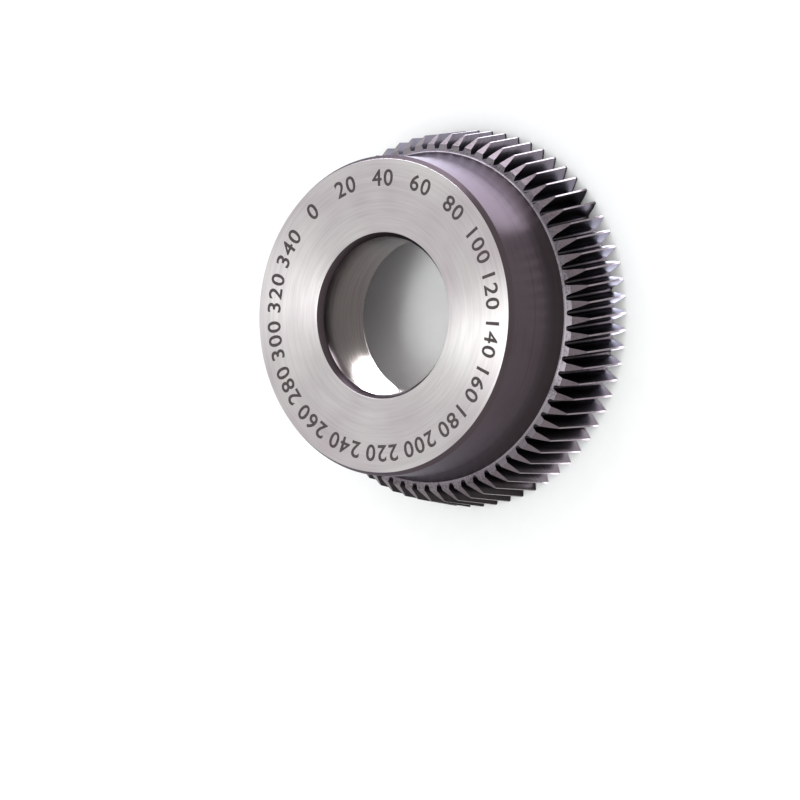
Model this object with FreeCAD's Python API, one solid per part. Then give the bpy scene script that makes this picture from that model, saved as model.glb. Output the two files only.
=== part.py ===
"""Bowl-type gear skiving cutter in one piece of high-speed steel.

A round hub with a ground mounting face and an arbor bore carries a flange with helical, relieved
gear teeth. The cutting side is hollow: a bowl with a clamping face round the bore. The cutter stands
on its tooth tips, so +Z is the bore axis, the tips lie at Z = 0 and the mounting face is on top.
Millimetres and degrees.
"""
import FreeCAD, Part
import math
import os

Vector = FreeCAD.Vector

# Gear data of the teeth
TEETH = 70
NORMAL_MODULE = 1.045
PRESSURE_ANGLE = 19.0  # in the normal section
HELIX_ANGLE = 7.8  # at the pitch circle, left-hand
TOOTH_THICKNESS = 1.5  # on the pitch circle at the cutting edge
ADDENDUM = 1.38  # pitch circle to the cutting edge's tip
TOOTH_DEPTH = 3.1  # tip to the bottom of the gullet
FIRST_TOOTH_ANGLE = 0.5  # from +X to the middle of a tooth at its cutting edge
RELIEF_ANGLE = 5.6  # tips and gullets fall away behind the cutting edge
RAKE_ANGLE = 5.0  # each rake face sinks towards the axis

# Flange that carries the teeth
FLANGE_WIDTH = 14.05  # cutting edges to the rear face
TOOTH_CHAMFER_WIDTH = 3.12  # along the axis, behind the lands
TOOTH_CHAMFER_ANGLE = 35.2  # to the axis
RIM_THICKNESS = 2.8  # gullet bottoms to the bowl, at the cutting edge

# Hub, behind the flange
HUB_HEIGHT = 16.53  # rear face of the flange to the mounting face
HUB_CHAMFER_RADIAL = 0.72
HUB_CHAMFER_AXIAL = 1.3
NECK_HEIGHT = 5.0  # the hub flares over this height to meet the rear face
NECK_FLARE = 0.8  # radial
NECK_CORNER = 0.5  # cone that fills the corner with the rear face
NECK_CLEARANCE = 0.32  # corner cone to the gullet bottoms

# Bore and the bowl on the cutting side
BORE_DIAMETER = 31.743  # 1 1/4 inch arbor
BORE_CHAMFER_RADIAL = 0.9
BORE_CHAMFER_AXIAL = 1.3
BORE_FRONT_CHAMFER = 0.4
WEB_THICKNESS = 14.7  # mounting face to clamping face
BOWL_WALL_ANGLE = 12.2  # to the axis
BOWL_CORNER = 2.0  # cone between the wall and the floor
FLOOR_RING_WIDTH = 1.7
FLOOR_RISE = 0.5  # floor ring above the foot of the clamping face's chamfer
GROOVE_WIDTH = 1.1
GROOVE_DEPTH = 0.8  # below the chamfer's foot
CLAMP_CHAMFER_RADIAL = 1.6
CLAMP_CHAMFER_AXIAL = 0.3

# Room that the cutting solids of this script reach beyond the metal
STOCK = 1.0  # the blank stands proud of the rake faces by this much
OVERRUN = 0.6

# Worked-out sizes
HELIX = math.radians(HELIX_ANGLE)
RELIEF = math.tan(math.radians(RELIEF_ANGLE))
RAKE = math.tan(math.radians(RAKE_ANGLE))
TRANSVERSE_PRESSURE = math.atan(math.tan(math.radians(PRESSURE_ANGLE)) / math.cos(HELIX))
PITCH_RADIUS = NORMAL_MODULE * TEETH / math.cos(HELIX) / 2
BASE_RADIUS = PITCH_RADIUS * math.cos(TRANSVERSE_PRESSURE)
TIP_RADIUS = PITCH_RADIUS + ADDENDUM
ROOT_RADIUS = TIP_RADIUS - TOOTH_DEPTH
HALF_PITCH = math.pi / TEETH
BOWL_MOUTH_RADIUS = ROOT_RADIUS - RIM_THICKNESS
TOP = FLANGE_WIDTH + HUB_HEIGHT


def involute(pressure):
    """Involute function of a pressure angle in radians."""
    return math.tan(pressure) - pressure


def tooth_half_angle(radius):
    """Half the angle that an involute tooth fills at a radius, in the plane of the cutting edges."""
    pressure = math.acos(min(1.0, BASE_RADIUS / radius))
    return TOOTH_THICKNESS / (2 * PITCH_RADIUS) + involute(TRANSVERSE_PRESSURE) - involute(pressure)


def gullet_half_width(radius):
    """Half the width of the gap between two teeth, in the plane of the cutting edges."""
    return radius * math.sin(HALF_PITCH - tooth_half_angle(radius))


def root_round_start():
    """Radius on the flanks where the round bottom of the gullet begins, tangent to both flanks."""
    step = 0.01
    start = ROOT_RADIUS + gullet_half_width(ROOT_RADIUS)
    for _ in range(12):
        slope = math.atan2(gullet_half_width(start + step) - gullet_half_width(start), step)
        start = ROOT_RADIUS + gullet_half_width(start) * math.tan(math.pi / 4 - slope / 2)
    return start


def gullet():
    """Solid that removes one gullet, from below the cutting edges to behind the flange.

    A profiled wheel grinds it in one straight pass, tangent to the helix at the cutting edge and sinking by
    the relief angle. Across the flange the pass and the true helix part by less than 0.2 mm.
    """
    round_start = root_round_start()
    outer = TIP_RADIUS + OVERRUN

    def at(radius, side):
        height = (radius - ROOT_RADIUS) * math.cos(math.radians(RELIEF_ANGLE))
        return Vector(height, side * gullet_half_width(radius) * math.cos(HELIX), 0)

    flanks = [
        Part.Arc(at(round_start, side), at((round_start + outer) / 2, side), at(outer, side)).toShape()
        for side in (-1, 1)
    ]
    bottom = Part.Arc(at(round_start, -1), Vector(), at(round_start, 1)).toShape()
    lid = Part.LineSegment(at(outer, -1), at(outer, 1)).toShape()
    profile = Part.Face(Part.Wire([flanks[0], bottom, flanks[1], lid]))

    rise = Vector(-RELIEF, -math.tan(HELIX), 1)
    solid = profile.extrude(Vector(0, 0, (FLANGE_WIDTH + STOCK + 2 * OVERRUN) * rise.Length))
    along_the_pass = FreeCAD.Rotation(Vector(1, 0, 0), Vector(), rise, "ZXY")
    solid.Placement = FreeCAD.Placement(Vector(ROOT_RADIUS, 0, 0) - rise * (STOCK + OVERRUN), along_the_pass)
    solid.rotate(Vector(), Vector(0, 0, 1), FIRST_TOOTH_ANGLE + math.degrees(HALF_PITCH))
    return solid


def rake_block():
    """Solid under the rake face of the first tooth, from the middle of one gullet to the next.

    The face is square to the tooth's helix and sinks towards the axis, so neighbouring faces meet in a step.
    """
    centre = math.radians(FIRST_TOOTH_ANGLE)
    land_half_width = TIP_RADIUS * math.sin(tooth_half_angle(TIP_RADIUS))
    inner = BOWL_MOUTH_RADIUS - 3 * OVERRUN
    outer = TIP_RADIUS + 3 * OVERRUN
    corners = []
    for radius, side in ((inner, -1), (outer, -1), (outer, 1), (inner, 1)):
        across = radius * math.sin(side * HALF_PITCH)
        along = radius * math.cos(HALF_PITCH)
        height = (land_half_width + across) * math.tan(HELIX) + (TIP_RADIUS - along) * RAKE
        angle = centre + side * HALF_PITCH
        corners.append(Vector(radius * math.cos(angle), radius * math.sin(angle), height))
    face = Part.Face(Part.makePolygon(corners + corners[:1]))
    return face.extrude(Vector(0, 0, -3 * STOCK))


def outer_outline():
    """Corners (radius, height) of the blank from the cutting side round the flange, neck and hub."""
    chamfer_start = FLANGE_WIDTH - TOOTH_CHAMFER_WIDTH
    chamfer_fall = TOOTH_CHAMFER_WIDTH * math.tan(math.radians(TOOTH_CHAMFER_ANGLE))
    land_end = TIP_RADIUS - chamfer_start * RELIEF
    neck = ROOT_RADIUS - FLANGE_WIDTH * RELIEF - NECK_CLEARANCE - NECK_CORNER
    hub = neck - NECK_FLARE
    return [
        (TIP_RADIUS + STOCK * RELIEF, -STOCK),
        (land_end, chamfer_start),
        (land_end - chamfer_fall, FLANGE_WIDTH),
        (neck + NECK_CORNER, FLANGE_WIDTH),
        (neck - NECK_CORNER * NECK_FLARE / NECK_HEIGHT, FLANGE_WIDTH + NECK_CORNER),
        (hub, FLANGE_WIDTH + NECK_HEIGHT),
        (hub, TOP - HUB_CHAMFER_AXIAL),
        (hub - HUB_CHAMFER_RADIAL, TOP),
    ]


def inner_outline():
    """Corners (radius, height) of the blank from the mounting face through the bore and out of the bowl."""
    bore = BORE_DIAMETER / 2
    clamp_face = TOP - WEB_THICKNESS
    clamp_foot = clamp_face + CLAMP_CHAMFER_AXIAL
    floor = clamp_foot - FLOOR_RISE
    wall_slope = math.tan(math.radians(BOWL_WALL_ANGLE))
    floor_edge = BOWL_MOUTH_RADIUS - floor * wall_slope - BOWL_CORNER
    groove_outer = floor_edge - FLOOR_RING_WIDTH
    groove_inner = groove_outer - GROOVE_WIDTH
    return [
        (bore + BORE_CHAMFER_RADIAL, TOP),
        (bore, TOP - BORE_CHAMFER_AXIAL),
        (bore, clamp_face + BORE_FRONT_CHAMFER),
        (bore + BORE_FRONT_CHAMFER, clamp_face),
        (groove_inner - CLAMP_CHAMFER_RADIAL, clamp_face),
        (groove_inner, clamp_foot),
        (groove_inner, clamp_foot + GROOVE_DEPTH),
        (groove_outer, clamp_foot + GROOVE_DEPTH),
        (groove_outer, floor),
        (floor_edge, floor),
        (floor_edge + BOWL_CORNER * (1 + wall_slope), floor - BOWL_CORNER),
        (BOWL_MOUTH_RADIUS + STOCK * wall_slope, -STOCK),
    ]


def blank():
    """Turned blank, before the teeth are ground."""
    corners = [Vector(radius, 0, height) for radius, height in outer_outline() + inner_outline()]
    section = Part.Face(Part.makePolygon(corners + corners[:1]))
    return section.revolve(Vector(), Vector(0, 0, 1), 360)


def round_the_axis(tool):
    """The tool repeated once for each tooth."""
    copies = []
    for k in range(TEETH):
        copy = tool.copy()
        copy.rotate(Vector(), Vector(0, 0, 1), 360.0 * k / TEETH)
        copies.append(copy)
    return copies


def skiving_cutter():
    """The finished cutter: blank, gullets, then the stepped rake faces."""
    return blank().cut(round_the_axis(gullet())).cut(round_the_axis(rake_block()))


os.makedirs("parts", exist_ok=True)
skiving_cutter().exportStep("parts/skiving_cutter.step")
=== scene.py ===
# %% [markdown]
# # A gear skiving cutter, made and lit in Blender
#
# The object is a bowl-shaped cutting tool in one piece of high-speed steel: a ring of 70 slanted teeth,
# a smooth hub behind it and a bore for its arbor. It stands on its cutting edges, so we look at its back:
# the bright ground mounting face, the hub and the rear of the teeth.
#
# The CAD model gives every size. Its solid keeps the weight, the bore and the collision shape. Here one
# closed skin takes its place on the screen, with the softened edges and the finishes that light needs.

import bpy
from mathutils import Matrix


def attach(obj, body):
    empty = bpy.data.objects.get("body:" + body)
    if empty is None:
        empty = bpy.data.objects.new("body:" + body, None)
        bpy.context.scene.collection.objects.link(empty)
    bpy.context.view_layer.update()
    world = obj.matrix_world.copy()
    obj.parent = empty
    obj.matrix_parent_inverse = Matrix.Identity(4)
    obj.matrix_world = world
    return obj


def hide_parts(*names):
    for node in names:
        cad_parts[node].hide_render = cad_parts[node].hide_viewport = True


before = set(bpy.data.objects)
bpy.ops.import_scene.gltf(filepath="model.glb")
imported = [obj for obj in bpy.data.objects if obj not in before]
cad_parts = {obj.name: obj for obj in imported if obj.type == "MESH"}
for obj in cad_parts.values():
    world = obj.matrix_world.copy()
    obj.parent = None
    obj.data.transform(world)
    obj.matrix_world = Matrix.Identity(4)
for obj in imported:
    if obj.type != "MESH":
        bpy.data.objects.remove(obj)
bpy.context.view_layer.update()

# %% Tools for shapes and materials
import math

import bmesh
import bpy
import numpy as np
from mathutils import Matrix, Vector

MM = 0.001
scene = bpy.context.scene

# %% [markdown]
# ## The sizes
#
# A cutter is described by gear data, not by a drawing of each flank: the number of teeth, the module
# (pitch diameter over teeth), the pressure angle and the helix angle. The rest are plain lengths. All are
# in millimetres, heights count up from the cutting edges, and angles are turned to radians once, here.

# %% Gear data and sizes of the cutter
TEETH = 70
NORMAL_MODULE = 1.045
HELIX = math.radians(7.8)
NORMAL_PRESSURE = math.radians(19.0)
ADDENDUM = 1.38  # pitch circle to the tips
TOOTH_DEPTH = 3.1
TOOTH_THICKNESS = 1.5  # on the pitch circle
FIRST_TOOTH = math.radians(0.48)
RELIEF = math.tan(math.radians(5.6))  # tips and gullets sink by this much per millimetre of height
RAKE = math.tan(math.radians(5.0))
FLANGE = 14.05  # cutting edges to the ring behind the teeth
CHAMFER_WIDTH = 3.12
CHAMFER = math.tan(math.radians(35.2))
REAR_SLOPE = math.tan(math.radians(6.0))  # the ring behind the teeth falls slightly towards its edge
HUB_HEIGHT = 16.53
HUB_RADIUS = 32.2
RIM_THICKNESS = 2.8  # gullet bottoms to the bowl
WEB_THICKNESS = 14.7  # mounting face to clamping face
BOWL_SLOPE = math.tan(math.radians(12.2))
BORE = 31.743 / 2

PITCH = 2 * math.pi / TEETH
PRESSURE = math.atan(math.tan(NORMAL_PRESSURE) / math.cos(HELIX))
PITCH_RADIUS = NORMAL_MODULE * TEETH / math.cos(HELIX) / 2
BASE_RADIUS = PITCH_RADIUS * math.cos(PRESSURE)
TIP_RADIUS = PITCH_RADIUS + ADDENDUM
ROOT_RADIUS = TIP_RADIUS - TOOTH_DEPTH
TWIST = math.tan(HELIX) / PITCH_RADIUS  # turn of the teeth per millimetre of height
CHAMFER_START = FLANGE - CHAMFER_WIDTH
REAR_EDGE = TIP_RADIUS - CHAMFER_START * RELIEF - CHAMFER_WIDTH * CHAMFER
TOP = FLANGE + HUB_HEIGHT
BOWL_MOUTH = ROOT_RADIUS - RIM_THICKNESS
print(f"pitch radius {PITCH_RADIUS:.3f} mm, tips {TIP_RADIUS:.3f}")
print(f"gullet bottoms {ROOT_RADIUS:.3f} mm, rear edge {REAR_EDGE:.3f}")

# %% [markdown]
# ## One gullet between two teeth
#
# A profiled grinding wheel cuts each gullet, sinking slightly as it goes so that the teeth have relief
# behind their edges. The flanks are involutes and the bottom is a full round. We could cut 70 gullets out
# of a disc with booleans, but the flanks would come out ragged. The gullet is a simple sweep, so we work
# it out as a grid: one parameter runs across the profile, the other from the cutting edges to the rear.

# %% The profile across a gullet
def involute(pressure):
    """Involute function: the tangent of the pressure angle less the angle itself."""
    return np.tan(pressure) - pressure


def flank_half_width(radius):
    """Half of the gap between two involute flanks: radius times the sine of the gap's half angle.

    The half angle is half a pitch less half a tooth, and half a tooth is its share at the pitch circle
    plus the difference of the involute function between that circle and this radius.
    """
    pressure = np.arccos(np.minimum(1.0, BASE_RADIUS / radius))
    half_tooth = TOOTH_THICKNESS / (2 * PITCH_RADIUS) + involute(PRESSURE) - involute(pressure)
    return radius * np.sin(PITCH / 2 - half_tooth)


def round_start():
    """Radius where the round bottom touches the flanks, found by stepping towards the tangent point."""
    radius = ROOT_RADIUS + 1.0
    for _ in range(20):
        slope = math.atan2(flank_half_width(radius + 0.01) - flank_half_width(radius), 0.01)
        radius = ROOT_RADIUS + float(flank_half_width(radius)) * math.tan(math.pi / 4 - slope / 2)
    return radius


ROUND_START = round_start()
ROUND_DEPTH = ROUND_START - ROOT_RADIUS
ROUND_RADIUS = (ROUND_DEPTH**2 + float(flank_half_width(ROUND_START))**2) / (2 * ROUND_DEPTH)


def gullet_half_width(radius):
    """Circle of the round bottom below ROUND_START, involute flank above it."""
    depth = np.clip(radius - ROOT_RADIUS, 0, ROUND_DEPTH)
    bottom = np.sqrt(np.maximum(0, depth * (2 * ROUND_RADIUS - depth)))
    return np.where(radius < ROUND_START, bottom, flank_half_width(np.maximum(radius, ROUND_START)))


def profile_radii(bottom_steps=7, flank_steps=7):
    """Radii of the grid's columns on one side: even turns round the bottom, even steps up the flank.

    One more column stands where the flank meets the rear edge, so that edge is crisp.
    """
    last_turn = math.atan2(float(flank_half_width(ROUND_START)), ROUND_RADIUS - ROUND_DEPTH)
    turn = np.linspace(0, last_turn, bottom_steps)
    bottom = ROOT_RADIUS + ROUND_RADIUS * (1 - np.cos(turn))
    flank = np.linspace(ROUND_START, TIP_RADIUS, flank_steps)[1:]
    rear_edge = REAR_EDGE + FLANGE * RELIEF
    return np.sort(np.concatenate([bottom, flank, [rear_edge]]))


RADII = profile_radii()
print(f"gullet bottom radius {ROUND_RADIUS:.2f} mm, {len(RADII)} columns a side")

# %% Where a gullet starts and ends
def gullet_angle(height):
    """Middle of gullet 0: half a pitch past tooth 0, turned by the helix with height."""
    return FIRST_TOOTH + PITCH / 2 - TWIST * height


def rake_height(radius, angle, tooth):
    """Height of a tooth's rake plane, which climbs across the tooth with the helix and inwards with the rake."""
    across = radius * np.sin(angle - FIRST_TOOTH - tooth * PITCH)
    along = radius * np.cos(angle - FIRST_TOOTH - tooth * PITCH)
    land = TIP_RADIUS * math.sin(PITCH / 2) - float(flank_half_width(TIP_RADIUS))
    return (land + across) * math.tan(HELIX) + (TIP_RADIUS - along) * RAKE


def sweep_point(radius, side, height):
    """Point of the swept profile: the radius shrinks with relief, the angle is the gullet's, plus or minus
    the arc sine of half width over radius."""
    r = radius - RELIEF * height
    angle = gullet_angle(height) + side * np.arcsin(gullet_half_width(radius) / r)
    return r, angle


def start_height(radius, side, tooth):
    """Height where the sweep meets a rake plane, by repeating height = plane(sweep(height))."""
    height = np.zeros_like(radius)
    for _ in range(8):
        height = rake_height(*sweep_point(radius, side, height), tooth)
    return height


def end_height(radius):
    """Height where the sweep leaves the metal: the rear ring, or the chamfer cone for the outer columns.

    Both are cones, so the height follows from one line in closed form.
    """
    ring = (FLANGE + REAR_SLOPE * (REAR_EDGE - radius)) / (1 - REAR_SLOPE * RELIEF)
    cone = (TIP_RADIUS - CHAMFER_START * RELIEF + CHAMFER_START * CHAMFER - radius) / (CHAMFER - RELIEF)
    return np.minimum(ring, cone)


# %% [markdown]
# ## A skin made of blocks
#
# Every block of the skin gives its corners as (radius, angle, height) and its faces as corner numbers.
# Blocks of one pitch are written once and copied 70 times round the axis. Neighbours compute their shared
# corners with the same formulas, so merging by distance closes the skin with no gaps.

# %% Block helpers
class Skin:
    """Collects blocks of corners and faces, with one finish number per face."""

    def __init__(self):
        self.corners, self.faces, self.finishes, self.count = [], [], [], 0

    def add(self, polar, faces, finish, copies=1):
        """Add a block, and copies of it turned by whole pitches: (r cos a, r sin a, z)."""
        radius, angle, height = (np.asarray(value, float).ravel() for value in polar)
        for copy in range(copies):
            turned = angle + copy * PITCH
            self.corners.append(np.column_stack([radius * np.cos(turned), radius * np.sin(turned), height]))
            self.faces += [[corner + self.count for corner in face] for face in faces]
            self.finishes += [finish] * len(faces)
            self.count += len(radius)


def grid_faces(rows, columns):
    """Quads of a rows by columns grid of corners, numbered row by row."""
    first = (np.arange(rows - 1)[:, None] * columns + np.arange(columns - 1)).ravel()
    return np.column_stack([first, first + 1, first + columns + 1, first + columns]).tolist()


HUB, TEETH_COAT, REAR_RING, CHAMFERS, LANDS, GROUND_FACE, GROUND_BORE, CLAMP_FACE = range(8)
skin = Skin()

# %% Gullets and lands
STEPS = 8
side = np.concatenate([-np.ones(len(RADII)), np.ones(len(RADII) - 1)])
radius = np.concatenate([RADII[::-1], RADII[1:]])
middle = len(RADII) - 1
start = np.where(side < 0, start_height(radius, side, 0), start_height(radius, side, 1))
low_start = float(start_height(RADII[:1], 0.0, 1)[0])  # the next tooth's rake face lies lower here
share = np.linspace(0, 1, STEPS + 1)[:, None]
gullet_z = start + (end_height(radius) - start) * share
gullet_r, gullet_a = sweep_point(radius, side, gullet_z)
columns = len(radius)

faces = grid_faces(STEPS + 1, columns)
low_corner = (STEPS + 1) * columns
faces[middle] = [middle, low_corner, middle + 1, middle + 1 + columns, middle + columns]
low_r, low_a = sweep_point(RADII[0], 0.0, low_start)
skin.add((np.append(gullet_r, low_r), np.append(gullet_a, low_a), np.append(gullet_z, low_start)),
         faces, TEETH_COAT, TEETH)

land = np.array([[gullet_r[:, -1], gullet_a[:, -1] - PITCH, gullet_z[:, -1]],
                 [gullet_r[:, 0], gullet_a[:, 0], gullet_z[:, 0]]])
skin.add(land.transpose(1, 2, 0), grid_faces(STEPS + 1, 2), LANDS, TEETH)
print(f"gullets: {columns} columns by {STEPS + 1} rows, step between rake faces {start[middle] - low_start:.2f} mm")

# %% Rear of the teeth, with the chamfer
RING_STEPS = 6  # columns of the turned surfaces per pitch
RING_RADIUS = 33.68
RING_HEIGHT = FLANGE + REAR_SLOPE * (REAR_EDGE - RING_RADIUS)
last = np.arange(middle, -1, -1)  # from the gullet's middle outwards, on the side of tooth 0
mirrored = np.arange(middle, columns)
rear = np.array([[gullet_r[-1, mirrored], gullet_a[-1, mirrored] - PITCH, gullet_z[-1, mirrored]],
                 [gullet_r[-1, last], gullet_a[-1, last], gullet_z[-1, last]]])
rear_edge_row = len(RADII) - 1 - int(np.argmin(abs(RADII[::-1] - REAR_EDGE - FLANGE * RELIEF)))
faces = grid_faces(len(RADII), 2)
skin.add(rear.transpose(1, 2, 0), faces[:rear_edge_row], REAR_RING, TEETH)
skin.add(rear.transpose(1, 2, 0), faces[rear_edge_row:], CHAMFERS, TEETH)

ring_angle = gullet_angle(RING_HEIGHT) - PITCH + np.arange(RING_STEPS + 1) * PITCH / RING_STEPS
ends = gullet_a[-1, middle] - np.array([0, PITCH])
ring = (np.append([gullet_r[-1, middle]] * 2, [RING_RADIUS] * (RING_STEPS + 1)), np.append(ends, ring_angle),
        np.append([gullet_z[-1, middle]] * 2, [RING_HEIGHT] * (RING_STEPS + 1)))
skin.add(ring, [list(range(RING_STEPS + 3))], REAR_RING, TEETH)

# %% Rake faces, the steps between them and the bowl's rim
rake = np.array([[gullet_r[0, mirrored], gullet_a[0, mirrored] - PITCH, gullet_z[0, mirrored]],
                 [gullet_r[0, last], gullet_a[0, last], gullet_z[0, last]]])
rake[0, :, 0] = low_r, low_a - PITCH, low_start
skin.add(rake.transpose(1, 2, 0), grid_faces(len(RADII), 2), TEETH_COAT, TEETH)

rim_share = np.arange(RING_STEPS + 1) / RING_STEPS
rim_z = np.zeros(RING_STEPS + 1)
for _ in range(8):
    rim_r = BOWL_MOUTH - rim_z * BOWL_SLOPE
    rim_a = gullet_angle(rim_z) - PITCH + rim_share * PITCH
    rim_z = rake_height(rim_r, rim_a, 0)
face_r = np.append([gullet_r[0, middle], low_r], rim_r)
face_a = np.append([gullet_a[0, middle], low_a - PITCH], rim_a)
face_z = np.append([gullet_z[0, middle], low_start], rim_z)
skin.add((face_r, face_a, face_z), [list(range(RING_STEPS + 3))], TEETH_COAT, TEETH)

step_r = [low_r, gullet_r[0, middle], rim_r[-1], rim_r[0]]
step_a = [low_a, gullet_a[0, middle], rim_a[-1], rim_a[0] + PITCH]
step_z = [low_start, gullet_z[0, middle], rim_z[-1], rim_z[0]]
skin.add((step_r, step_a, step_z), [[0, 1, 2, 3]], TEETH_COAT, TEETH)

WALL_START = 1.3
wall_a = gullet_angle(WALL_START) - PITCH + rim_share * PITCH
wall_r = np.full(RING_STEPS + 1, BOWL_MOUTH - WALL_START * BOWL_SLOPE)
faces = grid_faces(2, RING_STEPS + 1)
faces[0] = [0, 1, RING_STEPS + 2, RING_STEPS + 1, 2 * RING_STEPS + 2]
skin.add((np.concatenate([rim_r, wall_r, rim_r[-1:]]), np.concatenate([rim_a, wall_a, rim_a[-1:] - PITCH]),
          np.concatenate([rim_z, wall_r * 0 + WALL_START, rim_z[-1:]])), faces, TEETH_COAT, TEETH)
print(f"rake faces from {rim_z.min():.2f} to {rim_z.max():.2f} mm at the bowl's rim")

# %% [markdown]
# ## The turned surfaces
#
# Bowl, bore, mounting face, hub and neck are all turned, so each is a line of (radius, height) carried
# round the axis. Sharp corners never shine on real steel: a lathe or a stone leaves a small radius that
# catches a thin line of light. Each corner of the line is therefore swapped for a short curve.

# %% Softened lines and rings
def curve(start, corner, end, t):
    """Quadratic curve pulled towards a corner: (1-t)^2 A + 2t(1-t) C + t^2 B."""
    return (1 - t) ** 2 * np.asarray(start) + 2 * t * (1 - t) * np.asarray(corner) + t**2 * np.asarray(end)


def softened(corners, cut, steps=4):
    """Replace each inner corner by a quadratic curve that starts and ends the cut length away from it."""
    points = [np.array(corners[0], float)]
    t = np.linspace(0, 1, steps + 1)[:, None]
    for before, corner, after in zip(corners, corners[1:], corners[2:]):
        before, corner, after = (np.array(point, float) for point in (before, corner, after))
        a = corner + (before - corner) * cut / np.linalg.norm(before - corner)
        b = corner + (after - corner) * cut / np.linalg.norm(after - corner)
        points.extend(curve(a, corner, b, t))
    points.append(np.array(corners[-1], float))
    return np.array(points)


def turned(line, finish):
    """Carry a line round the axis: column j of a row at height z stands at the gullet's angle plus j steps."""
    line = np.asarray(line, float)
    steps = TEETH * RING_STEPS
    radius, height = (np.repeat(line[:, :1], steps + 1, 1), np.repeat(line[:, 1:], steps + 1, 1))
    angle = gullet_angle(height) - PITCH + np.arange(steps + 1) * PITCH / RING_STEPS
    skin.add((radius, angle, height), grid_faces(len(line), steps + 1), finish)


def along(first, second, steps):
    """Even points on a straight run, both ends included."""
    return np.linspace(first, second, steps + 1)


# %% Bowl and recessed ring on the cutting side
CLAMP = TOP - WEB_THICKNESS
CLAMP_CHAMFER = 0.3
FLOOR = CLAMP + CLAMP_CHAMFER - 0.5
RECESS = (24.2, 25.3)  # inner and outer radius of the recessed ring
RECESS_DEPTH = 1.1
CLAMP_EDGE = 22.5
BORE_LIP = 16.35  # the clamping face's finish ends here, just outside the bore's front chamfer
wall_foot = BOWL_MOUTH - FLOOR * BOWL_SLOPE
wall = (BOWL_MOUTH - WALL_START * BOWL_SLOPE, WALL_START)
bowl = softened([wall, (wall_foot, FLOOR), (RECESS[1] + 0.1, FLOOR)], 2.0, 8)
recess = softened([(RECESS[1] + 0.1, FLOOR), (RECESS[1], FLOOR + 0.05), (RECESS[1], CLAMP + RECESS_DEPTH),
                   (RECESS[0], CLAMP + RECESS_DEPTH), (RECESS[0], CLAMP + CLAMP_CHAMFER),
                   (RECESS[0] - 0.1, CLAMP + 0.28)], 0.04, 2)
turned(bowl, TEETH_COAT)
turned(recess, TEETH_COAT)
turned([(RECESS[0] - 0.1, CLAMP + 0.28), (CLAMP_EDGE + 0.16, CLAMP + 0.01), (CLAMP_EDGE, CLAMP)], TEETH_COAT)
turned(along((CLAMP_EDGE, CLAMP), (BORE_LIP, CLAMP), 6), CLAMP_FACE)
print(f"bowl {FLOOR:.2f} mm deep, clamping face at {CLAMP:.2f} mm")

# %% Bore and mounting face
FACE = TOP - 0.01  # leaves room for the numbers' thickness inside the CAD box
BORE_RING = TOP - 6.5  # one more ring of corners, for even faces down the bore
BORE_CHAMFER = TOP - 1.36
FACE_EDGE = 31.52
bore_line = softened([(BORE_LIP, CLAMP), (BORE + 0.4, CLAMP), (BORE, CLAMP + 0.4), (BORE, BORE_RING)], 0.06, 3)
turned(bore_line, GROUND_BORE)
turned([(BORE, BORE_RING), (BORE, BORE_CHAMFER)], GROUND_BORE)
bore_chamfer = [(BORE, BORE_CHAMFER), (BORE + 0.03, TOP - 1.27), (BORE + 0.84, TOP - 0.1)]
turned(bore_chamfer, HUB)
face_line = softened([(BORE + 0.84, TOP - 0.1), (BORE + 0.92, FACE), (FACE_EDGE - 0.08, FACE),
                      (FACE_EDGE, TOP - 0.1)], 0.05, 3)
turned(face_line, GROUND_FACE)
print(f"mounting face from {BORE + 0.92:.2f} to {FACE_EDGE - 0.08:.2f} mm, at {FACE:.2f} mm")

# %% Hub, neck and the ring behind the teeth
HUB_MARK = 22.7  # a faint turned line runs round the hub at this height
NECK_TOP = (HUB_RADIUS, 19.08)
NECK_FOOT = (33.04, 15.28)
FINISH_BREAK = 6  # step of the fillet where the ring's grinding starts
hub_line = softened([(FACE_EDGE, TOP - 0.1), (HUB_RADIUS, TOP - 1.3), (HUB_RADIUS, HUB_MARK)], 0.1, 3)
turned(hub_line, HUB)
t = np.linspace(0, 1, 13)[:, None]
flare = curve(NECK_TOP, (HUB_RADIUS, 17.2), NECK_FOOT, t)
fillet = curve(NECK_FOOT, (33.42, RING_HEIGHT + 0.03), (RING_RADIUS, RING_HEIGHT), t)
turned([(HUB_RADIUS, HUB_MARK), NECK_TOP], HUB)
turned(flare, HUB)
turned(fillet[:FINISH_BREAK + 1], HUB)
turned(fillet[FINISH_BREAK:], REAR_RING)
print(f"{skin.count} corners and {len(skin.faces)} faces before merging")

# %% [markdown]
# ## Closing the skin
#
# Merging doubles joins the blocks, and recalculated normals then all point out of the metal. Edges
# sharper than 24 degrees stay crisp, and the rest is shaded smooth. The check prints whether the skin is
# watertight and what volume of steel it holds, which should be the CAD solid's.

# %% The cutter's mesh
def closed_mesh(name, skin, crisp=math.radians(24)):
    """Mesh object from a skin, welded, facing outwards and with crisp edges marked."""
    mesh = bpy.data.meshes.new(name)
    mesh.from_pydata((np.vstack(skin.corners) * MM).tolist(), [], skin.faces)
    mesh.polygons.foreach_set("material_index", np.array(skin.finishes, dtype=np.int32))
    shape = bmesh.new()
    shape.from_mesh(mesh)
    bmesh.ops.remove_doubles(shape, verts=shape.verts, dist=3e-7)
    bmesh.ops.recalc_face_normals(shape, faces=shape.faces)
    open_edges = sum(not edge.is_manifold for edge in shape.edges)
    for face in shape.faces:
        face.smooth = True
    for edge in shape.edges:
        edge.smooth = edge.is_manifold and edge.calc_face_angle() < crisp
    print(f"{name}: {len(shape.faces)} faces, open edges {open_edges}, volume {shape.calc_volume() * 1e9:.0f} mm3")
    shape.to_mesh(mesh)
    shape.free()
    piece = bpy.data.objects.new(name, mesh)
    scene.collection.objects.link(piece)
    return piece


cutter = closed_mesh("ground_cutter", skin)

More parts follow.
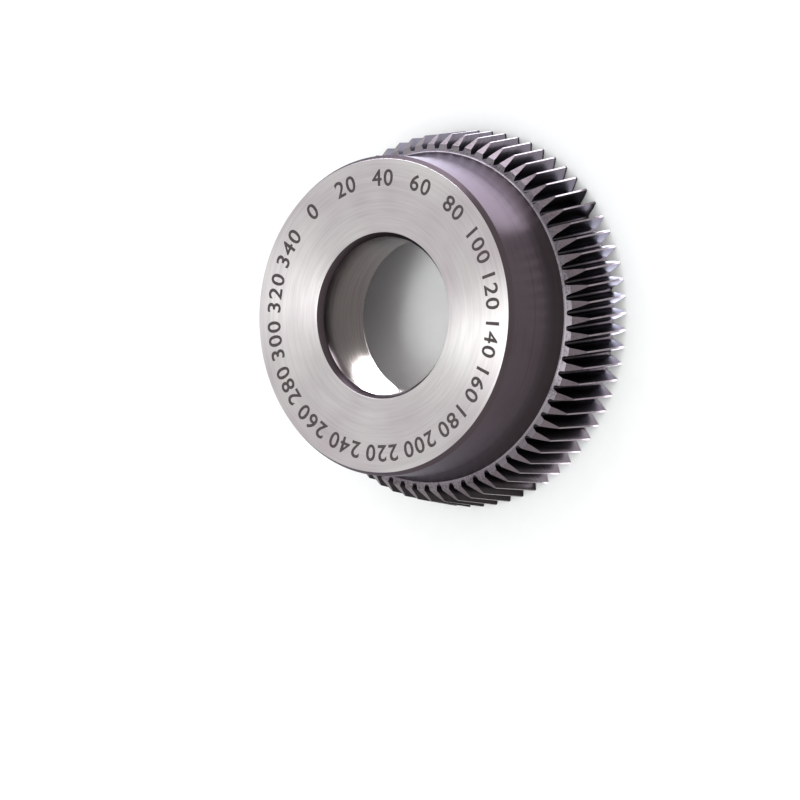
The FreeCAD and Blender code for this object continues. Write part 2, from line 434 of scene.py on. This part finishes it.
# %% [markdown]
# ## Numbers on the mounting face
#
# The real face carries a ring of laser marks. Ours is a plain dial of angles, which helps a setter to
# turn the cutter to a fresh tooth. Text objects become meshes first, then each number is moved to its
# place on the ring, so that the finished piece lies in the mesh itself.

# %% A dial of angles
def number_points(text, height, stroke, thickness):
    """Corners and faces of one number, centred, lying flat with its top towards +Y.

    A bevel widens each stroke by the same amount, and the heights are then pressed to the thickness.
    """
    curve = bpy.data.curves.new("number", "FONT")
    curve.body = text
    curve.size = height / 0.729 * MM  # a digit is 0.729 of the type size
    curve.align_x = "CENTER"
    curve.bevel_depth = stroke / 2 * MM
    curve.bevel_resolution = 0
    curve.resolution_u = 5
    curve.space_character = 1.15
    maker = bpy.data.objects.new("number", curve)
    mesh = bpy.data.meshes.new_from_object(maker)
    bpy.data.objects.remove(maker)
    corners = np.empty(len(mesh.vertices) * 3)
    mesh.vertices.foreach_get("co", corners)
    faces = [list(face.vertices) for face in mesh.polygons]
    bpy.data.meshes.remove(mesh)
    corners = corners.reshape(-1, 3)
    corners[:, 2] *= thickness * MM / np.ptp(corners[:, 2])
    corners[:, 1] *= height * MM / np.ptp(corners[:, 1])
    return corners, faces


def number_ring(values, first_angle, base_radius, height, stroke, top, thickness):
    """Place numbers clockwise as seen from above: x runs backwards in angle, y outwards in radius."""
    corners, faces, count = [], [], 0
    for index, value in enumerate(values):
        points, polygons = number_points(str(value), height, stroke, thickness)
        turn = first_angle - index * 2 * math.pi / len(values)
        angle = turn - points[:, 0] / (base_radius * MM)
        radius = base_radius * MM + points[:, 1]
        level = (top - thickness / 2) * MM + points[:, 2]
        corners.append(np.column_stack([radius * np.cos(angle), radius * np.sin(angle), level]))
        faces += [[corner + count for corner in polygon] for polygon in polygons]
        count += len(points)
    return np.vstack(corners), faces


corners, faces = number_ring(range(0, 360, 20), first_angle=math.radians(42), base_radius=26.1, height=3.4,
                             stroke=0.16, top=TOP, thickness=0.02)
number_mesh = bpy.data.meshes.new("dial_numbers")
number_mesh.from_pydata(corners.tolist(), [], faces)
shape = bmesh.new()
shape.from_mesh(number_mesh)
bmesh.ops.remove_doubles(shape, verts=shape.verts, dist=1e-8)
bmesh.ops.recalc_face_normals(shape, faces=shape.faces)
shape.to_mesh(number_mesh)
shape.free()
numbers = bpy.data.objects.new("dial_numbers", number_mesh)
scene.collection.objects.link(numbers)
print(f"dial: {len(number_mesh.polygons)} faces")

# %% [markdown]
# ## Finishes
#
# Two helpers serve all materials. Colours are written as sRGB hex values, and one function turns them
# into the linear values that the shader works with. The other adds a node with its settings and links, so
# that a material reads as a list of steps.

# %% Colour and node helpers
def linear(hex_colour):
    """sRGB hex to linear: c / 12.92 below 0.04045, else ((c + 0.055) / 1.055) to the power 2.4."""
    value = np.array([int(hex_colour[i:i + 2], 16) / 255 for i in (1, 3, 5)])
    value = np.where(value <= 0.04045, value / 12.92, ((value + 0.055) / 1.055) ** 2.4)
    return (*value.tolist(), 1.0)


def add(tree, kind, inputs=(), **settings):
    """New node of a kind, with its settings, and its inputs set to values or linked to outputs."""
    node = tree.nodes.new(kind)
    for name, value in settings.items():
        setattr(node, name, value)
    for key, value in dict(inputs).items():
        if isinstance(value, bpy.types.NodeSocket):
            tree.links.new(value, node.inputs[key])
        else:
            node.inputs[key].default_value = value
    return node


def new_finish(name):
    """Empty material, its shader and a position in millimetres from the object's own origin."""
    material = bpy.data.materials.new(name)
    material.use_nodes = True
    tree = material.node_tree
    shader = tree.nodes["Principled BSDF"]
    place = add(tree, "ShaderNodeTexCoord").outputs["Object"]
    place = add(tree, "ShaderNodeMapping", {"Vector": place, "Scale": (1000, 1000, 1000)}).outputs["Vector"]
    return material, tree, shader, place


# %% Directions round the axis
def round_the_axis(tree, place):
    """Radius, height and the unit direction from the axis: (x, y, 0) over its own length."""
    parts = add(tree, "ShaderNodeSeparateXYZ", {"Vector": place})
    flat = add(tree, "ShaderNodeCombineXYZ", {"X": parts.outputs["X"], "Y": parts.outputs["Y"]})
    flat = flat.outputs["Vector"]
    radius = add(tree, "ShaderNodeVectorMath", {0: flat}, operation="LENGTH").outputs["Value"]
    outwards = add(tree, "ShaderNodeVectorMath", {0: flat}, operation="NORMALIZE").outputs["Vector"]
    return radius, parts.outputs["Z"], outwards


def lay_direction(tree, outwards):
    """Direction of circular grinding lines: the axis crossed with the outward direction.

    The shader stretches highlights along its tangent, and lines stretch them across, hence the quarter
    turn in each finish's anisotropic rotation.
    """
    lay = add(tree, "ShaderNodeVectorMath", {0: (0, 0, 1), 1: outwards}, operation="CROSS_PRODUCT")
    return lay.outputs["Vector"]


def circular_lay(tree, radius, height, outwards, across, around, detail=3.0):
    """Noise that changes every few tenths of a millimetre across the lines and slowly along them.

    Its position is (radius + height) times lines per millimetre, and the direction times a small number.
    """
    level = add(tree, "ShaderNodeMath", {0: radius, 1: height}, operation="ADD").outputs[0]
    level = add(tree, "ShaderNodeMath", {0: level, 1: across}, operation="MULTIPLY").outputs[0]
    turn = add(tree, "ShaderNodeVectorMath", {0: outwards, "Scale": around}, operation="SCALE").outputs["Vector"]
    lift = add(tree, "ShaderNodeCombineXYZ", {"Z": level}).outputs["Vector"]
    position = add(tree, "ShaderNodeVectorMath", {0: turn, 1: lift}, operation="ADD").outputs["Vector"]
    return add(tree, "ShaderNodeTexNoise", {"Vector": position, "Scale": 1.0, "Detail": detail}).outputs["Fac"]


def blend_colours(tree, factor, first, second, low=0.0, high=1.0):
    """Colour ramp between two hex colours, with the given ends of the factor."""
    ramp = add(tree, "ShaderNodeValToRGB", {"Fac": factor})
    start, end = ramp.color_ramp.elements
    start.position, end.position = low, high
    start.color, end.color = linear(first), linear(second)
    return ramp.outputs["Color"]


def spread(tree, factor, low, high):
    """Map a 0 to 1 factor to a range of roughness."""
    return add(tree, "ShaderNodeMapRange", {"Value": factor, "To Min": low, "To Max": high}).outputs["Result"]


def shaded_by_height(tree, colour, height, bands):
    """Multiply a colour by a share that depends on the height.

    bands is a list of (height in mm, share), and the shares between two heights run straight.
    """
    low, high = bands[0][0], bands[-1][0]
    level = add(tree, "ShaderNodeMapRange", {"Value": height, "From Min": low, "From Max": high})
    ramp = add(tree, "ShaderNodeValToRGB", {"Fac": level.outputs["Result"]})
    stops = ramp.color_ramp.elements
    stops[0].color, stops[1].color = (bands[0][1],) * 3 + (1,), (bands[-1][1],) * 3 + (1,)
    for at, share in bands[1:-1]:
        stops.new((at - low) / (high - low)).color = (share,) * 3 + (1,)
    mix = add(tree, "ShaderNodeMix", {"Factor": 1.0, "A": colour, "B": ramp.outputs["Color"]},
              data_type="RGBA", blend_type="MULTIPLY")
    return mix.outputs["Result"]


# %% [markdown]
# ### Hard-coated high-speed steel
#
# The hub, the teeth and the bowl carry a vapour-deposited nitride coating a few thousandths of a
# millimetre thick over ground steel. It is a dark violet-grey metal with a satin gloss. The grinding
# lines under it run round the axis and pull every highlight into a band. Real lines are 0.01 mm apart,
# far too fine to show, so they are drawn at about 0.25 mm.

# %% Coated steel
def coated_steel(name, dark, light, rough, anisotropy=0.6, edge_tint="#ffffff", grit=0.0, shade=None):
    """Coated steel between two colours and two roughnesses.

    grit swaps the grinding lines for speckles, and the bands of height darken the colour: as painted shade, and as
    thin dark turned lines.
    """
    material, tree, shader, place = new_finish(name)
    radius, height, outwards = round_the_axis(tree, place)
    lay = circular_lay(tree, radius, height, outwards, across=3.0, around=1.5)
    specks = add(tree, "ShaderNodeTexNoise", {"Vector": place, "Scale": 2.4, "Detail": 3.0}).outputs["Fac"]
    grain = add(tree, "ShaderNodeMix", {"Factor": grit, "A": lay, "B": specks}).outputs["Result"]
    clouds = add(tree, "ShaderNodeTexNoise", {"Vector": place, "Scale": 0.11, "Detail": 2.0}).outputs["Fac"]
    tone = add(tree, "ShaderNodeMath", {0: clouds, 1: grain}, operation="ADD").outputs[0]
    colour = blend_colours(tree, tone, dark, light, 0.75, 1.25)
    if shade is not None:
        colour = shaded_by_height(tree, colour, height, shade)
    tree.links.new(colour, shader.inputs["Base Color"])
    tree.links.new(spread(tree, grain, *rough), shader.inputs["Roughness"])
    tree.links.new(lay_direction(tree, outwards), shader.inputs["Tangent"])
    bump = add(tree, "ShaderNodeBump", {"Height": grain, "Strength": 0.12, "Distance": 0.00005})
    tree.links.new(bump.outputs["Normal"], shader.inputs["Normal"])
    shader.inputs["Metallic"].default_value = 1.0
    shader.inputs["Specular Tint"].default_value = linear(edge_tint)
    shader.inputs["Anisotropic"].default_value = anisotropy
    shader.inputs["Anisotropic Rotation"].default_value = 0.25
    return material


# %% [markdown]
# ### Where the stone went last
#
# The same coating looks different where the surface under it differs. The ring behind the teeth is
# ground in circles and speckled. The chamfers behind the lands are duller, and the lands themselves are
# ground last of all, through the coating, so they show as thin light lines.

# %% The five coated surfaces
# Painted shade: the bands from 15.2 to 19.6 mm darken the neck. The dip at 22.5 mm is a real turned line on the hub.
HUB_PAINTED_SHADE_AND_LINE = [(15.2, 0.45), (17.2, 0.5), (19.2, 0.82), (19.6, 0.95),  # painted shade: the neck is darker than the hub
             (22.35, 1.0), (22.5, 0.6), (22.65, 1.0), (30.0, 1.0)]  # and a thin turned line is dark
hub_coat = coated_steel("nitride_coated_hub", "#493f43", "#4d4448", (0.30, 0.40), 0.5, "#dcdbe3",
                        shade=HUB_PAINTED_SHADE_AND_LINE)
# The teeth and bowl carry the hub's coating, painted far darker than the hub. This is painted shade for the dark
# surroundings reflected in the flanks and gullets.
shaded_teeth_coat = coated_steel("nitride_coated_teeth_painted_dark", "#2a2526", "#343031", (0.24, 0.36), 0.3, "#d4d6de")
ring_coat = coated_steel("nitride_coated_ring", "#625b60", "#918a91", (0.32, 0.46), 0.85, grit=0.75)
chamfer_coat = coated_steel("nitride_coated_chamfers", "#574e52", "#6d6469", (0.24, 0.42), 0.0, grit=0.9)
land_coat = coated_steel("ground_lands", "#6f666b", "#8a8086", (0.26, 0.40), 0.0, grit=0.6)
print("coated finishes:", hub_coat.name, shaded_teeth_coat.name, ring_coat.name, chamfer_coat.name, land_coat.name)

# %% [markdown]
# ### Ground mounting face
#
# The back of the hub is ground flat after coating, so it shows bare steel: warm light grey, with fine
# concentric lines. Lines in rings reflect a lamp as two bright sectors, like a bow tie, and leave the
# other two grey. That comes from anisotropy, with the tangent along the rings.

# %% Mounting face
def ground_face():
    material, tree, shader, place = new_finish("ring_ground_steel")
    radius, height, outwards = round_the_axis(tree, place)
    lay = circular_lay(tree, radius, height, outwards, across=2.6, around=2.5, detail=4.0)
    clouds = add(tree, "ShaderNodeTexNoise", {"Vector": place, "Scale": 0.06, "Detail": 2.0}).outputs["Fac"]
    tint = blend_colours(tree, clouds, "#c0b8bb", "#cfcccb", 0.35, 0.65)
    lines = blend_colours(tree, lay, "#eeeeee", "#ffffff", 0.3, 0.7)
    colour = add(tree, "ShaderNodeMix", {"Factor": 1.0, "A": tint, "B": lines}, data_type="RGBA",
                 blend_type="MULTIPLY")
    shader.inputs["Metallic"].default_value = 1.0
    shader.inputs["Anisotropic"].default_value = 0.85
    shader.inputs["Anisotropic Rotation"].default_value = 0.25
    tree.links.new(colour.outputs["Result"], shader.inputs["Base Color"])
    tree.links.new(spread(tree, lay, 0.30, 0.38), shader.inputs["Roughness"])
    tree.links.new(lay_direction(tree, outwards), shader.inputs["Tangent"])
    return material


# %% [markdown]
# ### Bore and clamping face
#
# The bore is honed to fit its arbor, so it is the smoothest surface: nearly a mirror, and it shows the
# floor and a lamp in its wall. The clamping face is ground by the rim of a cup wheel, which leaves crossing
# arcs. Noise read at an angle that grows with the radius gives such arcs.

# %% Bore and clamping face
def ground_bore():
    """Honed bore: near-mirror steel with faint rings about 0.4 mm apart, its colour painted darker than the face's
    steel as painted shade for the dark things it reflects.
    """
    material, tree, shader, place = new_finish("honed_bore_steel_painted_dark")
    radius, height, outwards = round_the_axis(tree, place)
    lay = circular_lay(tree, radius, height, outwards, across=2.2, around=1.0)
    shader.inputs["Metallic"].default_value = 1.0
    # Painted shade: this bare steel is coloured much darker than the mounting face, for the dark surroundings the
    # bore reflects.
    tree.links.new(blend_colours(tree, lay, "#6f6867", "#857d7b", 0.3, 0.7), shader.inputs["Base Color"])
    tree.links.new(spread(tree, lay, 0.10, 0.20), shader.inputs["Roughness"])
    return material


def clamping_face():
    """Cup-ground steel: the lines are arcs, so their angle grows with the radius."""
    material, tree, shader, place = new_finish("cup_ground_steel")
    radius, height, outwards = round_the_axis(tree, place)
    bend = add(tree, "ShaderNodeMath", {0: radius, 1: 0.09}, operation="MULTIPLY").outputs[0]
    arcs = add(tree, "ShaderNodeVectorRotate", {"Vector": outwards, "Angle": bend}, rotation_type="Z_AXIS")
    position = add(tree, "ShaderNodeVectorMath", {0: arcs.outputs["Vector"], "Scale": 45.0}, operation="SCALE")
    lay = add(tree, "ShaderNodeTexNoise", {"Vector": position.outputs["Vector"], "Scale": 1.0, "Detail": 3.0})
    shader.inputs["Metallic"].default_value = 1.0
    shader.inputs["Anisotropic"].default_value = 0.5
    colour = blend_colours(tree, lay.outputs["Fac"], "#b9b3b4", "#d6d1d1", 0.3, 0.7)
    tree.links.new(colour, shader.inputs["Base Color"])
    tree.links.new(spread(tree, lay.outputs["Fac"], 0.2, 0.34), shader.inputs["Roughness"])
    return material


# %% [markdown]
# ### Laser marks
#
# A laser marks ground steel by heating it until a dull oxide forms. The mark has almost no depth and no
# gloss, so the numbers are thin and rough, and mottled where the oxide is thicker.

# %% Laser marks and the pieces' finishes
def laser_mark():
    """Annealed laser mark: a dull brown-grey oxide, slightly mottled at 0.3 mm."""
    material, tree, shader, place = new_finish("laser_marked_oxide")
    mottle = add(tree, "ShaderNodeTexNoise", {"Vector": place, "Scale": 1.6, "Detail": 3.0}).outputs["Fac"]
    tree.links.new(blend_colours(tree, mottle, "#30282a", "#4d4344", 0.3, 0.75), shader.inputs["Base Color"])
    tree.links.new(spread(tree, mottle, 0.45, 0.65), shader.inputs["Roughness"])
    shader.inputs["Metallic"].default_value = 0.3
    return material


for finish in (hub_coat, shaded_teeth_coat, ring_coat, chamfer_coat, land_coat,
               ground_face(), ground_bore(), clamping_face()):
    cutter.data.materials.append(finish)
numbers.data.materials.append(laser_mark())
for piece in (cutter, numbers):
    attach(piece, "root")
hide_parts("skiving_cutter")
print("finishes:", [slot.name for slot in cutter.material_slots])

# %% [markdown]
# ## Floor, world and lamps
#
# A pale floor keeps the soft shadow of the teeth. The camera and the metal see a white world, as in a
# light tent. Two soft boxes give the mounting face its bow tie. Polished steel shows its surroundings more
# than its own colour, so small panels on the floor put a highlight on the hub and glints on the flanks.

# %% Floor and world
def pale_floor():
    bpy.ops.mesh.primitive_plane_add(size=4.0, location=(0, 0, 0))
    floor = bpy.context.object
    floor.name = "pale_floor"
    material, tree, shader, place = new_finish("matt_white_card")
    grain = add(tree, "ShaderNodeTexNoise", {"Vector": place, "Scale": 0.2, "Detail": 2.0}).outputs["Fac"]
    tree.links.new(blend_colours(tree, grain, "#f4f4f5", "#f8f8f8"), shader.inputs["Base Color"])
    shader.inputs["Roughness"].default_value = 0.8
    floor.data.materials.append(material)


def white_world(level):
    """White where the camera, a reflection or glass looks, and a plain level elsewhere."""
    world = bpy.data.worlds.new("light_tent")
    world.use_nodes = True
    scene.world = world
    tree = world.node_tree
    path = add(tree, "ShaderNodeLightPath")
    seen = add(tree, "ShaderNodeMath", {0: path.outputs["Is Camera Ray"], 1: path.outputs["Is Glossy Ray"]},
               operation="MAXIMUM").outputs[0]
    seen = add(tree, "ShaderNodeMath", {0: seen, 1: path.outputs["Is Transmission Ray"]},
               operation="MAXIMUM").outputs[0]
    strength = add(tree, "ShaderNodeMapRange", {"Value": seen, "To Min": level, "To Max": 1.0})
    tree.links.new(strength.outputs["Result"], tree.nodes["Background"].inputs["Strength"])
    tree.nodes["Background"].inputs["Color"].default_value = (1, 1, 1, 1)


pale_floor()
white_world(0.85)
print("floor and world ready")

# %% Soft boxes
def soft_box(name, direction, distance, size, strength, colour="#ffffff", target=(0, 0, 0.015)):
    """Area lamp at a direction from the target, facing it; strength is in watts."""
    lamp = bpy.data.lights.new(name, "AREA")
    lamp.shape, lamp.size, lamp.size_y, lamp.energy = "RECTANGLE", size[0], size[1], strength
    lamp.color = linear(colour)[:3]
    box = bpy.data.objects.new(name, lamp)
    away = Vector(direction).normalized()
    box.location = Vector(target) + away * distance
    box.rotation_euler = away.to_track_quat("Z", "Y").to_euler()
    box.visible_camera = False
    scene.collection.objects.link(box)
    return box


soft_box("overhead_box", (-0.10, -0.06, 1.0), 0.6, (0.22, 0.26), 1.5, "#fbfffd")
soft_box("side_box", (1.0, 0.35, 0.12), 0.45, (0.5, 0.1), 1.2, "#f4f5ff")


def light_panel(name, x, y, size, strength, turn=0.0, height=0.5):
    """Panel lying on the floor and shining up, its centre, size and height in millimetres."""
    size = (size[0] * MM, size[1] * MM)
    panel = soft_box(name, (0, 0, 1), height * MM, size, strength, "#f6f5ff", (x * MM, y * MM, 0))
    panel.data.shape = "ELLIPSE"
    panel.rotation_euler = (math.pi, 0, turn)


light_panel("outer_panel", 52, -10, (60, 60), 0.044)
light_panel("far_panel", 150, 30, (110, 140), 0.13)
for clock in (2.2, 3.0, 3.8, 4.6):  # under the cutting edges, so that the flanks glint at their front ends
    turn = -math.radians(30 * clock)
    light_panel("edge_panel", 37 * math.cos(turn), 37 * math.sin(turn), (17, 6), 0.0018, turn + math.pi / 2, 0.1)
bore_spot = soft_box("bore_spot", (0.53, 0.305, -0.79), 0.0005, (0.012, 0.012), 0.005,
                     target=(-0.001, 0.0152, 0.005))
bore_spot.data.shape = "DISK"
bore_spot.data.spread = math.radians(60)
areas = [lamp for lamp in bpy.data.lights if lamp.type == "AREA"]
print("lamps:", ", ".join(f"{lamp.name} {lamp.energy:g} W" for lamp in areas))

# %% [markdown]
# ## Camera
#
# A long lens from far away keeps the rings nearly true ellipses. The camera looks at the mounting face
# from 37.4 degrees off the axis and is rolled so that +X points up in the frame.

# %% Camera
def place_camera(distance, off_axis, azimuth, roll, shift, lens):
    """Camera on a circle round the mounting face, looking at it, then slid in its own plane.

    Its line of sight is the axis tilted off_axis towards -Y, then turned by the azimuth about the axis.
    """
    tilt = math.radians(off_axis)
    about_axis = Matrix.Rotation(math.radians(azimuth), 3, "Z")
    back = about_axis @ Vector((0, -math.sin(tilt), math.cos(tilt)))
    up = about_axis @ Vector((1, 0, 0))
    right = up.cross(back)
    turn = Matrix.Rotation(math.radians(roll), 3, back)
    right, up = turn @ right, turn @ up
    camera = bpy.data.objects.new("camera", bpy.data.cameras.new("camera"))
    camera.data.lens, camera.data.sensor_width = lens, 36
    camera.data.clip_start, camera.data.clip_end = 0.1, 20
    place = Vector((0, 0, TOP * MM)) + back * distance + right * shift[0] + up * shift[1]
    camera.matrix_world = Matrix.Translation(place) @ Matrix((right, up, back)).transposed().to_4x4()
    scene.collection.objects.link(camera)
    scene.camera = camera
    return camera


camera = place_camera(distance=1.7045, off_axis=37.43, azimuth=0.51, roll=1.32, shift=(0.00356, -0.01696), lens=382.5)
print("camera at", tuple(round(value, 4) for value in camera.location))
scene.view_settings.view_transform = "Standard"

# %% The end
bpy.context.view_layer.update()
